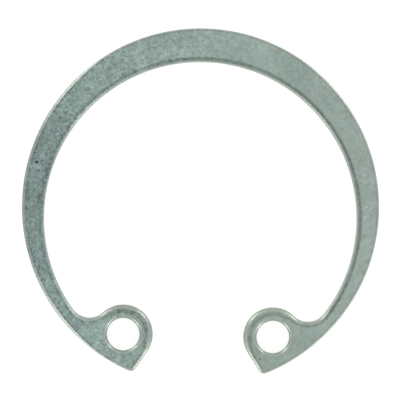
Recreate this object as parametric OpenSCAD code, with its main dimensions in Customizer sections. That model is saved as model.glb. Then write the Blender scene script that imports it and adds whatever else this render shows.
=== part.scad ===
// Internal retaining ring (circlip) for a bore, blanked from flat spring steel.
// It lies flat: the axis of the bore is Z, the mouth between the lugs faces -Y,
// and the origin is on the axis, halfway through the thickness.

/* [Ring] */
// Outside diameter of the free ring; a 22 mm bore takes 23.5 mm
free_d = 23.5; // [22.5:0.1:26]
// Thickness of the strip that the ring is blanked from
thickness = 1; // [0.8:0.05:1.5]
// Radial width of the band opposite the mouth, its widest place
band_back = 2.2; // [1.8:0.05:2.6]
// Radial width that the taper would reach on the centreline of the mouth
band_front = 0.68; // [0.55:0.01:0.9]

/* [Lugs] */
// Radial height of a lug, from the outside of the ring inwards
lug_height = 3.9; // [3.6:0.05:4.3]
// Radius of the round end of a lug
lug_r = 1.95; // [1.7:0.05:2.2]
// Diameter of the plier hole in each lug
hole_d = 2.15; // [1.6:0.05:2.4]
// Angle at the centre between the middle of the mouth and a plier hole
hole_angle = 30.2; // [28:0.1:34]
// Lean of a lug's straight end from the centreline of the mouth
end_angle = 33.5; // [30:0.5:37]
// Fillet in the neck between a lug and the band
neck_r = 1.35; // [1.1:0.05:1.6]
// Rounding of the tip where a straight end meets the outside
tip_r = 0.35; // [0.3:0.01:0.5]

/* [Edges] */
// Width of the rolled edge that blanking leaves on the upper face
roll_w = 0.25; // [0.15:0.01:0.28]
// Depth of that rolled edge
roll_h = 0.15; // [0.08:0.01:0.2]
// Width of the rolled edge round a plier hole
hole_roll_w = 0.3; // [0.15:0.01:0.35]
// Chamfer left on the lower edges after deburring
burr_break = 0.05; // [0.02:0.01:0.08]

/* [Hidden] */
$fn = 96;
// How far the cutters stand out from the faces that they trim
clear = 0.4;
// How far a roll's circle would rise above the face, so that it meets the face at a slight angle
roll_lift = 0.002;
// How much more the full trim takes off than the light one, in width and in depth
roll_step = 0.01;
// How far the light trim runs past its own stretch of the outline
reach = 0.1;
// How far the full trim stops short of the ends of its own stretch
seam = 0.02;

top = thickness / 2;
outer_r = free_d / 2;
inner_r = outer_r - (band_back + band_front) / 2;
taper_shift = (band_back - band_front) / 2;
hole_r = hole_d / 2;

// Centres of the arcs on the right-hand half of the outline
band_c = [0, -taper_shift];
lug_c = (outer_r - lug_height + lug_r) * [sin(hole_angle), -cos(hole_angle)];
neck_c = circle_meet(band_c, inner_r - neck_r, lug_c, lug_r + neck_r);

// The straight end: its outward normal, and its direction out towards the tip
end_n = [-cos(end_angle), -sin(end_angle)];
end_t = [sin(end_angle), -cos(end_angle)];
tip_in = lug_c * end_n + lug_r - tip_r;
tip_c = tip_in * end_n + sqrt(pow(outer_r - tip_r, 2) - pow(tip_in, 2)) * end_t;
tip_start = tip_c + tip_r * end_n;
lug_start = lug_c + lug_r * end_n;

// Directions, in degrees, at which one arc of the outline hands over to the next
tip_dir = heading(tip_c);
end_dir = heading(end_n);
lug_dir = heading(neck_c - lug_c);
neck_dir = heading(neck_c - band_c);

function heading(v) = atan2(v[1], v[0]);
function unit(v) = v / norm(v);
// Angle turned clockwise from one heading to another
function clockwise(from, to) = (from - to + 720) % 360;
// The outer of the two points at distance ra from a and rb from b
function circle_meet(a, ra, b, rb) =
    let (d = norm(b - a), u = unit(b - a), along = (ra * ra - rb * rb + d * d) / (2 * d),
         side = sqrt(ra * ra - along * along))
    a + along * u + side * [-u[1], u[0]];

module both_sides() {
    children();
    mirror([1, 0]) children();
}

// Plan of the blank, with every arc tangent to its neighbours
module blank_plan() {
    difference() {
        union() {
            tapered_band_plan();
            both_sides() lug_plan();
        }
        both_sides() translate(neck_c) circle(neck_r);
        both_sides() translate(lug_c) circle(hole_r);
    }
}

module tapered_band_plan() {
    far = 2 * outer_r * unit(tip_c);
    difference() {
        circle(outer_r);
        translate(band_c) circle(inner_r);
        polygon([[0, 0], far, [-far[0], far[1]]]);
    }
}

module lug_plan() {
    far = 2 * outer_r;
    translate(lug_c) circle(lug_r);
    translate(tip_c) circle(tip_r);
    intersection() {
        circle(outer_r);
        polygon([lug_c, neck_c, far * unit(neck_c), far * unit(tip_c), tip_c, tip_start, lug_start]);
    }
}

// What is trimmed off an edge, seen in section: the wall is at x = 0 and the metal at x < 0
module edge_section(w, h, chamfer) {
    rise = h + roll_lift;
    roll_r = (w * w + rise * rise) / (2 * rise);
    difference() {
        translate([-w, top - h - reach]) square([w + clear, h + reach + clear]);
        translate([-w, top + roll_lift - roll_r]) circle(roll_r);
    }
    polygon([[-chamfer - reach, -top - reach], [reach, chamfer - top + reach],
             [clear, chamfer - top + reach], [clear, -top - reach]]);
}

module light_section() {
    edge_section(roll_w, roll_h, burr_break);
}

module full_section() {
    edge_section(roll_w + roll_step, roll_h + roll_step, burr_break + roll_step);
}

// Sweeps a section clockwise along a convex arc of the outline, and a length past each end of it
module sweep_outside(c, r, from, to, past) {
    over = past / r * 180 / PI;
    sweep = clockwise(from, to) + 2 * over;
    translate(c) rotate(from + over - sweep) rotate_extrude(angle = sweep) translate([r, 0]) children();
}

// Sweeps a section along a concave arc in the same way
module sweep_inside(c, r, from, to, past) {
    sweep_outside(c, r, from, to, past) mirror([1, 0]) children();
}

// Rolls the outside, the straight ends and the necks, a little past both ends of each
module light_trim() {
    sweep_outside([0, 0], outer_r, 180 - tip_dir, tip_dir, reach) light_section();
    both_sides() translate(lug_start - reach * end_t) rotate([90, 0, end_dir]) mirror([0, 0, 1])
        linear_extrude(norm(tip_start - lug_start) + 2 * reach) light_section();
    both_sides() sweep_inside(neck_c, neck_r, neck_dir, lug_dir + 180, reach) light_section();
}

// Rolls the arcs in between, slightly deeper, so that the light trim ends inside what this takes off
module full_trim() {
    sweep_inside(band_c, inner_r, 180 - neck_dir, neck_dir, -seam) full_section();
    both_sides() sweep_outside(tip_c, tip_r, tip_dir, end_dir, -seam) full_section();
    both_sides() sweep_outside(lug_c, lug_r, end_dir, lug_dir, -seam) full_section();
}

module hole_trim() {
    translate(lug_c) rotate_extrude() translate([hole_r, 0]) mirror([1, 0])
        edge_section(hole_roll_w, roll_h, burr_break);
}

module circlip() {
    color([0.6, 0.65, 0.62]) difference() {
        translate([0, 0, -top]) linear_extrude(thickness) blank_plan();
        light_trim();
        both_sides() hole_trim();
        full_trim();
    }
}

circlip();
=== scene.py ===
import math

import bmesh
import bpy
from mathutils import Matrix, Vector, noise


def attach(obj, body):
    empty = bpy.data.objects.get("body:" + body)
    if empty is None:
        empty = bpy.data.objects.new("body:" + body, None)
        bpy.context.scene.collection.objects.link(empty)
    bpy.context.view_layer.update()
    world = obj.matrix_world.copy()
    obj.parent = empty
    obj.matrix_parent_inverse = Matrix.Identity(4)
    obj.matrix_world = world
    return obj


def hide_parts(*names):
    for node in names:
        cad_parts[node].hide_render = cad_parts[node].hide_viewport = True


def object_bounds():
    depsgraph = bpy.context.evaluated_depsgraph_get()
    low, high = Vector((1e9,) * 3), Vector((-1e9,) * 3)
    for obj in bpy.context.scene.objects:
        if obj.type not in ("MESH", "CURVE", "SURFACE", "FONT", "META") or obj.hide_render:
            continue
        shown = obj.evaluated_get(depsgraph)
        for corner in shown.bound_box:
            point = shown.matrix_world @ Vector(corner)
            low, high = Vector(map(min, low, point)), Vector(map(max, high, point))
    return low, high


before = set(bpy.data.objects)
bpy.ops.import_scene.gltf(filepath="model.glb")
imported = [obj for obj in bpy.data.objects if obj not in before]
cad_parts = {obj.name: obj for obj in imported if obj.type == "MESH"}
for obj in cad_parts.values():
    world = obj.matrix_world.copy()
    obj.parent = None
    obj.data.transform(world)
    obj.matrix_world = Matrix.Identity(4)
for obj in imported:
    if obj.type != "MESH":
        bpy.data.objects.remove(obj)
cad_lo, cad_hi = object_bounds()

MM = 0.001
BODY = "root"

# Sizes, in millimetres. They repeat the driving dimensions of the part's source; the outside
# radius and the thickness come from the frame itself.
OUTER_R = cad_hi.y / MM
TOP = (cad_hi.z - cad_lo.z) / 2 / MM
BAND_BACK = 2.2
BAND_FRONT = 0.68
LUG_HEIGHT = 3.9
LUG_R = 1.95
HOLE_R = 1.075
HOLE_ANGLE = math.radians(30.2)
END_ANGLE = math.radians(33.5)
NECK_R = 1.35
TIP_R = 0.35
BURR_BREAK = 0.05

# The rolled upper edge. Its width differs from stretch to stretch and is largest round the lugs.
ROLL = {"outer": 0.14, "tip": 0.24, "end": 0.28, "lug": 0.40, "neck": 0.30, "inner": 0.30, "hole": 0.30}
ROLL_LEFT = 0.13            # how much wider it is along the outside of the left-hand arm
ROLL_LEFT_X = (6.5, 9.0)    # distances to the left of the centreline between which that sets in
ROLL_LIMIT = 0.8            # widest roll, as a share of the radius of a convex arc
NO_LIMIT = 1e9              # radius noted for straight and concave stretches
ROLL_DEPTH = 0.55           # depth of the roll as a share of its width
ROLL_UNEVEN = 0.12          # how much that depth varies,
ROLL_UNEVEN_SIZE = 1.7      # and over what length
ROLL_STEPS = 9
FLAT_RIM = 0.10             # flat strip inside the roll, where the painted dark line fades out
RIM_ROWS = (1.0, 0.6, 0.25) # rows of points on that strip, as shares of its width
STEP = 0.055                # spacing of the points along the outline
SPREAD = 8                  # points to each side over which values are eased

# The painted shade line where the roll meets the flat face, a dark band standing in for the dark
# surroundings mirrored in the roll: how dark it is on each stretch
SHADE_LINE = {"outer": 0.24, "tip": 0.26, "end": 0.30, "lug": 0.32, "neck": 0.30, "inner": 0.23, "hole": 0.06}
SHADE_LINE_RIGHT = 0.22           # how much darker it is along the inside of the right-hand arm
SHADE_LINE_RIGHT_X = (-7.0, 0.0)  # places across the ring between which that sets in

# The wall, smooth above where the punch sheared it and rough below where the metal broke
SHEAR_SHARE = 0.4           # smooth share of the wall
SHEAR_UNEVEN = 0.35         # how much that share varies,
SHEAR_UNEVEN_SIZE = 0.9     # and over what length
BREAK_TAPER = 0.012         # how far the broken part leans in
BREAK_ROUGH = 0.010         # how uneven it is,
BREAK_GRAIN = 0.16          # and the size of its bumps
BREAK_ONSET = 4             # how quickly the roughness sets in below the smooth part
WALL_STEPS = 10
LOWER_RIM = 0.03            # flat strip at the edge of the lower face

# Values of the attribute "wall": the smooth part of the wall, the foot of the broken part and the
# chamfer below it. "edge" is 0 on the wall, and takes these values on the chamfer and lower face.
WALL_SMOOTH, WALL_FOOT, WALL_CHAMFER = 0.3, 1.0, 0.6
EDGE_CHAMFER, EDGE_LOWER_FACE = 0.4, 2.0

LOOP_SEED = 10.0            # distance in the noise between one loop and the next
SHEAR_SEED = 5              # and between the noise of the roll and that of the wall
SHARP_ANGLE = math.radians(38)


def unit(v):
    return v / v.length

def circle_meet(a, ra, b, rb):
    """The outer of the two points at distance ra from a and rb from b."""
    d = (b - a).length
    u = unit(b - a)
    along = (ra * ra - rb * rb + d * d) / (2 * d)
    side = math.sqrt(ra * ra - along * along)
    return a + along * u + side * Vector((-u.y, u.x))

def heading(v):
    return math.atan2(v.y, v.x)

# The right-hand lug: centres of its arcs, and the directions across and along its straight end
INNER_R = OUTER_R - (BAND_BACK + BAND_FRONT) / 2
BAND_C = Vector((0, -(BAND_BACK - BAND_FRONT) / 2))
LUG_C = (OUTER_R - LUG_HEIGHT + LUG_R) * Vector((math.sin(HOLE_ANGLE), -math.cos(HOLE_ANGLE)))
NECK_C = circle_meet(BAND_C, INNER_R - NECK_R, LUG_C, LUG_R + NECK_R)
END_N = Vector((-math.cos(END_ANGLE), -math.sin(END_ANGLE)))
END_T = Vector((math.sin(END_ANGLE), -math.cos(END_ANGLE)))
TIP_IN = LUG_C.dot(END_N) + LUG_R - TIP_R
TIP_C = TIP_IN * END_N + math.sqrt((OUTER_R - TIP_R) ** 2 - TIP_IN ** 2) * END_T

def arc(name, c, r, a0, a1, convex):
    """Points of an arc from heading a0 to a1. Each is (place, outward normal of the metal, name of
    the stretch, radius that limits the roll)."""
    n = max(3, int(abs(a1 - a0) * r / STEP))
    side = 1 if convex else -1
    return [(c + r * Vector((math.cos(a), math.sin(a))),
             side * Vector((math.cos(a), math.sin(a))), name, r if convex else NO_LIMIT)
            for a in (a0 + (a1 - a0) * i / n for i in range(n))]

def mirrored(points):
    """The same stretch on the left-hand side, in the order that keeps the metal on the left."""
    return [(Vector((-p.x, p.y)), Vector((-n.x, n.y)), name, r) for p, n, name, r in reversed(points)]

def right_side():
    """From the end of the inner arc round the right-hand neck, lug, straight end and tip."""
    neck_dir, lug_dir = heading(NECK_C - BAND_C), heading(NECK_C - LUG_C)
    end_dir, tip_dir = heading(END_N), heading(TIP_C)
    points = arc("neck", NECK_C, NECK_R, neck_dir + 2 * math.pi, lug_dir + math.pi, False)
    points += arc("lug", LUG_C, LUG_R, lug_dir, end_dir + 2 * math.pi, True)
    start, stop = LUG_C + LUG_R * END_N, TIP_C + TIP_R * END_N
    n = int((stop - start).length / STEP)
    points += [(start + (stop - start) * i / n, END_N.copy(), "end", NO_LIMIT) for i in range(n)]
    points += arc("tip", TIP_C, TIP_R, end_dir, tip_dir, True)
    return points

def outline():
    """The whole outline, anticlockwise, with the metal on the left."""
    neck_dir, tip_dir = heading(NECK_C - BAND_C), heading(TIP_C)
    right = right_side()
    outer = arc("outer", Vector((0, 0)), OUTER_R, tip_dir, math.pi - tip_dir, True)
    inner = arc("inner", BAND_C, INNER_R, math.pi - neck_dir, neck_dir, False)
    left = mirrored(right + [(TIP_C + TIP_R * unit(TIP_C), unit(TIP_C), "tip", TIP_R)])[:-1]
    return right + outer + left + inner

def hole(side):
    """The loop round a plier hole, which runs clockwise because the metal is outside it."""
    c = Vector((side * LUG_C.x, LUG_C.y))
    return arc("hole", c, HOLE_R, 2 * math.pi, 0, False)

def eased(values):
    """Running mean round a closed loop."""
    n = len(values)
    return [sum(values[(i + k) % n] for k in range(-SPREAD, SPREAD + 1)) / (2 * SPREAD + 1)
            for i in range(n)]

def smoothstep(x, lo, hi):
    t = min(1.0, max(0.0, (x - lo) / (hi - lo)))
    return t * t * (3 - 2 * t)

def roll_widths(points):
    """The width of the roll at each point, eased from one stretch to the next."""
    raw = [ROLL[name] + (ROLL_LEFT * smoothstep(-p.x, *ROLL_LEFT_X) if name == "outer" else 0)
           for p, _, name, _ in points]
    return [min(w, ROLL_LIMIT * r) for w, (_, _, _, r) in zip(eased(raw), points)]

def shade_line_strengths(points):
    """How dark the painted shade line beside the roll is at each point."""
    return eased([SHADE_LINE[name] + (SHADE_LINE_RIGHT * smoothstep(p.x, *SHADE_LINE_RIGHT_X) if name == "inner" else 0)
                  for p, _, name, _ in points])

def uneven(p, size, seed):
    return noise.noise(Vector((p.x, p.y, seed)) / size)

def section(p, w, seed):
    """Rows of (inset from the wall, height, edge, wall), from the upper face down to the lower one.
    edge is 0 at the wall, 1 where the roll meets the face and more on the face. wall is 0 on the
    roll and rises down the broken part of the wall."""
    depth = ROLL_DEPTH * w * (1 + ROLL_UNEVEN * uneven(p, ROLL_UNEVEN_SIZE, seed))
    rows = [(w + rim, TOP, 1 + rim / w, 0.0) for rim in (share * FLAT_RIM for share in RIM_ROWS)]
    for i in range(ROLL_STEPS + 1):
        a = math.pi / 2 * i / ROLL_STEPS
        rows.append((w * (1 - math.sin(a)), TOP - depth * (1 - math.cos(a)), 1 - math.sin(a), 0.0))

    wall_top, wall_low = TOP - depth, -TOP + BURR_BREAK
    varied = 1 + SHEAR_UNEVEN * uneven(p, SHEAR_UNEVEN_SIZE, seed + SHEAR_SEED)
    break_z = wall_top - SHEAR_SHARE * (wall_top - wall_low) * varied
    for i in range(1, WALL_STEPS + 1):
        z = wall_top + (wall_low - wall_top) * i / WALL_STEPS
        down = max(0.0, (break_z - z) / (break_z - wall_low))
        bumps = 0.5 + 0.5 * noise.noise(Vector((p.x, p.y, z)) / BREAK_GRAIN)
        rough = BREAK_ROUGH * min(1.0, BREAK_ONSET * down) * bumps
        wall = WALL_SMOOTH + (WALL_FOOT - WALL_SMOOTH) * down
        rows.append((BREAK_TAPER * down + max(0.0, rough), z, 0.0, wall))
    rows.append((rows[-1][0] + BURR_BREAK, -TOP, EDGE_CHAMFER, WALL_CHAMFER))
    rows.append((rows[-1][0] + LOWER_RIM, -TOP, EDGE_LOWER_FACE, 0.0))
    return rows

def sweep(bm, points, layers, seed):
    """Adds the strip of faces round one loop, and returns its edges on the upper and the lower face."""
    rings = []
    along = 0.0
    last = points[-1][0]
    insides = eased([1.0 if name == "inner" else 0.0 for _, _, name, _ in points])
    for (p, n, _, _), w, line, inside in zip(points, roll_widths(points), shade_line_strengths(points), insides):
        along += (p - last).length
        last = p
        ring = []
        for inset, z, edge, wall in section(p, w, seed):
            q = p - inset * n
            v = bm.verts.new((q.x * MM, q.y * MM, z * MM))
            v[layers["edge"]], v[layers["wall"]], v[layers["along"]] = edge, wall, along
            v[layers["line"]], v[layers["inside"]] = line, inside
            ring.append(v)
        rings.append(ring)

    pairs = list(zip(rings, rings[1:] + rings[:1]))
    for a, b in pairs:
        for i in range(len(a) - 1):
            bm.faces.new((a[i], a[i + 1], b[i + 1], b[i]))
    bm.edges.ensure_lookup_table()
    upper = [bm.edges.get((a[0], b[0])) for a, b in pairs]
    lower = [bm.edges.get((a[-1], b[-1])) for a, b in pairs]
    return upper, lower

def make_ring():
    bm = bmesh.new()
    layers = {k: bm.verts.layers.float.new(k) for k in ("edge", "wall", "along", "line", "inside")}
    upper, lower = [], []
    for i, loop in enumerate((outline(), hole(-1), hole(1))):
        loop_upper, loop_lower = sweep(bm, loop, layers, LOOP_SEED * i)
        upper += loop_upper
        lower += loop_lower
    bmesh.ops.triangle_fill(bm, use_beauty=True, edges=upper, normal=(0, 0, 1))
    bmesh.ops.triangle_fill(bm, use_beauty=True, edges=lower, normal=(0, 0, -1))
    bmesh.ops.recalc_face_normals(bm, faces=bm.faces)
    mesh = bpy.data.meshes.new("ring_metal")
    bm.to_mesh(mesh)
    bm.free()
    mesh.shade_smooth()
    mesh.set_sharp_from_angle(angle=SHARP_ANGLE)
    ring = bpy.data.objects.new("ring_metal", mesh)
    bpy.context.scene.collection.objects.link(ring)
    return ring


def linear(r, g, b):
    """A colour of 0 to 255 as Blender's linear one."""
    return tuple(((c / 255 + 0.055) / 1.055) ** 2.4 for c in (r, g, b)) + (1.0,)

class Graph:
    """A short way to add and join nodes."""
    def __init__(self, tree):
        self.tree = tree
        tree.nodes.clear()

    def add(self, kind, settings=None, **inputs):
        """A node with its settings and inputs. Inputs are named, or i0, i1 and so on by number."""
        node = self.tree.nodes.new("ShaderNode" + kind)
        for k, v in (settings or {}).items():
            setattr(node, k, v)
        for k, v in inputs.items():
            numbered = k[0] == "i" and k[1:].isdigit()
            self.join(v, node.inputs[int(k[1:]) if numbered else k.replace("_", " ")])
        return node

    def join(self, value, socket):
        if isinstance(value, bpy.types.NodeSocket):
            self.tree.links.new(value, socket)
        else:
            socket.default_value = value

    def math(self, op, a, b=0.0, c=0.0, clamp=False):
        return self.add("Math", {"operation": op, "use_clamp": clamp}, i0=a, i1=b, i2=c).outputs[0]

    def plus(self, a, b, clamp=False):
        return self.math("ADD", a, b, clamp=clamp)

    def times(self, a, b):
        return self.math("MULTIPLY", a, b)

    def shifted(self, value, slope, start):
        """start, plus slope for each unit of the value."""
        return self.math("MULTIPLY_ADD", value, slope, start)

    def centred(self, noise_value, amount):
        """A noise of 0 to 1 as one about zero, times the amount."""
        return self.times(self.math("SUBTRACT", noise_value, 0.5), amount)

    def range(self, value, lo, hi, out_lo=0.0, out_hi=1.0):
        return self.add("MapRange", {"clamp": True, "interpolation_type": "SMOOTHSTEP"},
                        i0=value, i1=lo, i2=hi, i3=out_lo, i4=out_hi).outputs[0]

    def noise(self, where, size_mm, detail=3.0, rough=0.55, distortion=0.0):
        return self.add("TexNoise", {"normalize": True}, Vector=where, Scale=1 / (size_mm * MM),
                        Detail=detail, Roughness=rough, Distortion=distortion).outputs["Fac"]

    def ramp(self, value, stops):
        n = self.add("ValToRGB", None, Fac=value)
        ramp = n.color_ramp
        while len(ramp.elements) < len(stops):
            ramp.elements.new(0.5)
        for e, (pos, colour) in zip(ramp.elements, stops):
            e.position, e.color = pos, linear(*colour)
        return n.outputs["Color"]

    def mix(self, fac, a, b, blend="MIX"):
        n = self.tree.nodes.new("ShaderNodeMix")
        n.data_type, n.blend_type, n.clamp_factor = "RGBA", blend, True
        self.join(fac, n.inputs[0])
        self.join(a, n.inputs[6])
        self.join(b, n.inputs[7])
        return n.outputs[2]

    def attribute(self, name):
        return self.add("Attribute", {"attribute_name": name}).outputs["Fac"]

# The plating's colour across the ring, with painted shade: share of TONE_SPAN from the left, and colour of
# 0 to 255. It is painted darker and bluer on the left-hand arm, for light that falls off towards that side.
TONES_WITH_SIDE_SHADE = (
    (0.03, (122, 139, 138)), (0.07, (127, 144, 142)), (0.16, (137, 155, 151)), (0.30, (142, 159, 154)),
    (0.5, (150, 167, 161)), (0.78, (148, 163, 157)), (0.97, (153, 167, 161)),
)
TONE_SPAN = 24                      # millimetres
GREENER = (134, 156, 146)           # colour of the soft patches of tint,
GREENER_SHARE = 0.22                # how far they go towards it,
GREENER_RANGE = (0.35, 0.65)        # and the values of the noise between which they set in
# Painted sheen on the roll: a paler, warmer colour standing in for light mirrored there
ROLL_SHEEN_COLOUR, ROLL_SHEEN_SHARE = (166, 170, 158), 0.45
BROKEN_COLOUR, BROKEN_SHARE = (122, 129, 124), 0.6
LOW_LEFT_PALER = 0.055              # how much paler the lower part of the left-hand arm is,
LOW_LEFT_X = (-4 * MM, -9 * MM)     # and the places between which that sets in
LOW_LEFT_Y = (-2 * MM, -6 * MM)

# The mottle: sizes in millimetres and amounts of three noises
BROAD_SIZE, BROAD_AMOUNT = 2.6, 0.55
PATCH_SIZE, PATCH_AMOUNT = 0.55, 0.9
GRAIN_SIZE, GRAIN_AMOUNT = 0.20, 2.6
TINT_SIZE = 0.9
SPECKLE_RIGHT = 0.34                # how strong patch and grain are on the right, where the left has 1,
SPECKLE_X = (5 * MM, -9 * MM)       # and the places between which that changes

# Marks on the upper face: (x, y, radius) in millimetres, and how much darker (-) or lighter (+)
MARKS = (
    (-10.79, 2.72, 0.19, -0.85), (-10.68, 2.18, 0.13, -0.50), (-11.20, 2.45, 0.13, 0.70),
    (10.90, 0.20, 0.10, 0.60), (10.86, -0.45, 0.09, 0.50), (4.10, -9.95, 0.10, -0.60),
    (-10.30, 0.15, 0.14, -0.40), (-11.05, -0.05, 0.10, 0.40),
)
MARK_CORE = 0.3                     # share of a mark's radius that has its full strength

# Where the painted dark shade line starts, is full, begins to fade and ends, and where the painted pale
# sheen on the roll begins and is full, in values of "edge"; then how far each moves along the inside of the
# band
LINE_START, LINE_FULL, LINE_FADE, LINE_END = 0.45, 0.92, 0.95, 1.36
INSIDE_START, INSIDE_FULL, INSIDE_END = -0.30, -0.40, -0.10
ROLL_SHEEN_START, ROLL_SHEEN_FULL = 0.95, 0.35
INSIDE_SHEEN_START, INSIDE_SHEEN_FULL = -0.50, -0.25
LINE_PATCH, LINE_EVEN = 1.2, 0.4    # how much of the line follows the patches, and how much doesn't

# Values of "wall" between which the broken colour and the scratches set in
BROKEN_RANGE = (0.32, 0.6)
SCRATCH_RANGE = (0.1, 0.3)

ROUGHNESS = 0.40
ROUGHNESS_PATCHES = 0.16            # how much it varies from patch to patch
ROLLED_SMOOTHER = 0.10
BROKEN_ROUGHER = 0.22
SCRATCH_ALONG, SCRATCH_DOWN = 28.0, 900.0   # noise per millimetre along the wall, per metre down it
SCRATCH_HEIGHT, GRAIN_HEIGHT, PATCH_HEIGHT = 1.2, 0.6, 0.7
BUMP_STRENGTH = 0.35
BUMP_DEPTH = 0.012 * MM

def mottled_level(g, where, xyz, patch, grain):
    """How light the plating is, 1 on average: mottle, marks and the paler lower left."""
    broad = g.noise(where, BROAD_SIZE, 3)
    speckled = g.range(xyz[0], *SPECKLE_X, SPECKLE_RIGHT, 1.0)
    mottle = g.plus(g.centred(patch, PATCH_AMOUNT), g.centred(grain, GRAIN_AMOUNT))
    mottle = g.plus(g.times(mottle, speckled), g.centred(broad, BROAD_AMOUNT))
    level = g.plus(mottle, 1.0)
    for x, y, radius, amount in MARKS:
        centre = (x * MM, y * MM, TOP * MM)
        d = g.add("VectorMath", {"operation": "DISTANCE"}, i0=where, i1=centre).outputs["Value"]
        d = g.plus(d, g.centred(grain, radius * MM))
        level = g.plus(level, g.times(g.range(d, radius * MM, MARK_CORE * radius * MM), amount))
    low_left = g.times(g.range(xyz[1], *LOW_LEFT_Y), g.range(xyz[0], *LOW_LEFT_X))
    return g.shifted(low_left, LOW_LEFT_PALER, level)

def painted_shade_line(g, edge, line, inside, patch):
    """Painted shade: the dark line where the roll meets the face, standing in for the dark horizon mirrored
    in the roll's slope. Along the inside of the band it takes most of the roll."""
    start = g.shifted(inside, INSIDE_START, LINE_START)
    full = g.shifted(inside, INSIDE_FULL, LINE_FULL)
    end = g.shifted(inside, INSIDE_END, LINE_END)
    dark = g.times(g.range(edge, start, full), g.range(edge, end, LINE_FADE))
    return g.times(dark, g.times(line, g.shifted(patch, LINE_PATCH, LINE_EVEN)))

def plated_steel():
    mat = bpy.data.materials.new("plated_steel")
    mat.use_nodes = True
    g = Graph(mat.node_tree)
    where = g.add("TexCoord").outputs["Object"]
    xyz = g.add("SeparateXYZ", None, Vector=where).outputs
    edge, wall, along, line, inside = (g.attribute(k) for k in ("edge", "wall", "along", "line", "inside"))
    patch = g.noise(where, PATCH_SIZE, 4, 0.6, 0.6)
    grain = g.noise(where, GRAIN_SIZE, 4, 0.7, 0.4)
    tint = g.noise(where, TINT_SIZE, 2)

    # Painted sheen: a paler, warmer strip from the dark line out to the wall, standing in for the floor and
    # lamps mirrored in the roll; narrow along the inside of the band
    roll_sheen = g.range(edge, g.shifted(inside, INSIDE_SHEEN_START, ROLL_SHEEN_START),
                     g.shifted(inside, INSIDE_SHEEN_FULL, ROLL_SHEEN_FULL))
    broken = g.range(wall, *BROKEN_RANGE)

    # Plating colour with painted shade, darker and bluer towards the left-hand arm
    tone_with_side_shade = g.ramp(g.shifted(xyz[0], 1 / (TONE_SPAN * MM), 0.5), TONES_WITH_SIDE_SHADE)
    # Painted shade: the dark line beside the roll is taken off the plating's level
    level = g.math("SUBTRACT", mottled_level(g, where, xyz, patch, grain),
                   painted_shade_line(g, edge, line, inside, patch))
    grey = g.add("CombineColor", None, i0=level, i1=level, i2=level).outputs[0]
    colour = g.mix(1.0, tone_with_side_shade, grey, "MULTIPLY")
    colour = g.mix(g.times(g.range(tint, *GREENER_RANGE), GREENER_SHARE), colour, linear(*GREENER))
    # Painted sheen laid over the roll
    colour = g.mix(g.times(roll_sheen, ROLL_SHEEN_SHARE), colour, linear(*ROLL_SHEEN_COLOUR))
    colour = g.mix(g.times(broken, BROKEN_SHARE), colour, linear(*BROKEN_COLOUR))

    rough = g.plus(g.centred(patch, ROUGHNESS_PATCHES), ROUGHNESS)
    rough = g.math("SUBTRACT", rough, g.times(roll_sheen, ROLLED_SMOOTHER))
    rough = g.plus(rough, g.times(broken, BROKEN_ROUGHER), clamp=True)

    # Fine grain everywhere, and upright scratches left by the punch on the wall
    scratch_at = g.add("CombineXYZ", None, X=g.times(along, SCRATCH_ALONG), Y=g.times(xyz[2], SCRATCH_DOWN))
    scratch = g.add("TexNoise", None, Vector=scratch_at.outputs[0], Scale=1.0, Detail=2.0).outputs["Fac"]
    scratch = g.times(scratch, g.times(g.range(wall, *SCRATCH_RANGE), SCRATCH_HEIGHT))
    height = g.plus(g.times(grain, GRAIN_HEIGHT), g.times(patch, PATCH_HEIGHT))
    height = g.plus(height, scratch)
    bump = g.add("Bump", None, Strength=BUMP_STRENGTH, Distance=BUMP_DEPTH, Height=height)

    shader = g.add("BsdfPrincipled", None, Base_Color=colour, Metallic=1.0, Roughness=rough,
                   Normal=bump.outputs[0])
    g.add("OutputMaterial", None, Surface=shader.outputs[0])
    return mat

ring = make_ring()
ring.data.materials.append(plated_steel())
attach(ring, BODY)
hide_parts("circlip")


# The stage, in metres
WHITE = (1, 1, 1, 1)
FLOOR_HALF = 1.5
FLOOR_GREY = (0.42, 0.42, 0.42, 1)
FLOOR_GLOW = 0.74           # brings the lit floor up to white where it is seen directly

# The world's light on the object: its strength at the horizon and overhead, and the heights
# between which it rises
SKY_LOW, SKY_HIGH = 0.55, 1.0
SKY_RISE = (0.2, 0.85)

LAMP_AZIMUTHS = (42, 138, 222, 318)     # degrees
LAMP_HEIGHT = 34                        # degrees above the floor
LAMP_FAR = 0.22
LAMP_SIZE = 0.06
LAMP_WATTS = 0.06
LAMP_COLOUR = (1.0, 0.95, 0.84)

# The camera looks straight down. In the photograph the ring's centre is at CENTRE_PX, counted from
# the top left pixel, its outside radius is RADIUS_PX, and the ring is turned clockwise by TURN.
IMAGE = 400
IMAGE_CENTRE = 199.5
RADIUS_PX = 178.7
CENTRE_PX = (199.95, 206.5)
TURN = math.radians(1.1)
CAMERA_HEIGHT = 0.18
SENSOR_WIDTH = 36           # millimetres

def seen_directly(g):
    """1 for camera, glossy and transmission rays, which see the white background."""
    path = g.add("LightPath").outputs
    reflected = g.plus(path["Is Glossy Ray"], path["Is Transmission Ray"])
    return g.plus(path["Is Camera Ray"], reflected, clamp=True)

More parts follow.
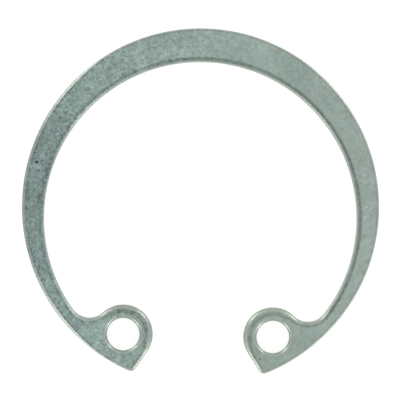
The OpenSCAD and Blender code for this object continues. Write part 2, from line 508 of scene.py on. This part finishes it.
def make_floor():
    mesh = bpy.data.meshes.new("floor")
    z = cad_lo.z
    h = FLOOR_HALF
    mesh.from_pydata([(-h, -h, z), (h, -h, z), (h, h, z), (-h, h, z)], [], [(0, 1, 2, 3)])
    floor = bpy.data.objects.new("floor", mesh)
    bpy.context.scene.collection.objects.link(floor)
    mat = bpy.data.materials.new("floor_white")
    mat.use_nodes = True
    g = Graph(mat.node_tree)
    diffuse = g.add("BsdfDiffuse", None, Color=FLOOR_GREY)
    glow = g.add("Emission", None, Color=WHITE, Strength=g.times(seen_directly(g), FLOOR_GLOW))
    both = g.add("AddShader", None, i0=diffuse.outputs[0], i1=glow.outputs[0])
    g.add("OutputMaterial", None, Surface=both.outputs[0])
    mesh.materials.append(mat)

def make_world():
    world = bpy.data.worlds.new("studio")
    bpy.context.scene.world = world
    world.use_nodes = True
    g = Graph(world.node_tree)
    up = g.add("SeparateXYZ", None, Vector=g.add("TexCoord").outputs["Generated"]).outputs[2]
    sky = g.range(up, *SKY_RISE, SKY_LOW, SKY_HIGH)
    strength = g.add("MapRange", None, i0=seen_directly(g), i1=0.0, i2=1.0, i3=sky, i4=1.0).outputs[0]
    back = g.add("Background", None, Color=WHITE, Strength=strength)
    g.add("OutputWorld", None, Surface=back.outputs[0])

def make_lamps():
    for i, azimuth in enumerate(LAMP_AZIMUTHS):
        a, e = math.radians(azimuth), math.radians(LAMP_HEIGHT)
        place = LAMP_FAR * Vector((math.cos(a) * math.cos(e), math.sin(a) * math.cos(e), math.sin(e)))
        data = bpy.data.lights.new(f"lamp_{i}", "AREA")
        data.shape, data.size, data.energy = "SQUARE", LAMP_SIZE, LAMP_WATTS
        data.color = LAMP_COLOUR
        lamp = bpy.data.objects.new(f"lamp_{i}", data)
        lamp.matrix_world = Matrix.Translation(place) @ place.to_track_quat("Z", "Y").to_matrix().to_4x4()
        bpy.context.scene.collection.objects.link(lamp)

def make_camera():
    data = bpy.data.cameras.new("camera")
    half_view = IMAGE / 2 / RADIUS_PX * OUTER_R * MM
    data.sensor_width = SENSOR_WIDTH
    data.lens = SENSOR_WIDTH / 2 * (CAMERA_HEIGHT - TOP * MM) / half_view
    camera = bpy.data.objects.new("camera", data)
    px = OUTER_R * MM / RADIUS_PX
    across, up = IMAGE_CENTRE - CENTRE_PX[0], CENTRE_PX[1] - IMAGE_CENTRE
    shift = Vector((across * px, up * px, CAMERA_HEIGHT))
    camera.matrix_world = Matrix.Rotation(TURN, 4, "Z") @ Matrix.Translation(shift)
    data.clip_start, data.clip_end = 0.01, 10
    bpy.context.scene.collection.objects.link(camera)
    bpy.context.scene.camera = camera

make_floor()
make_world()
make_lamps()
make_camera()
bpy.context.scene.view_settings.view_transform = "Standard"
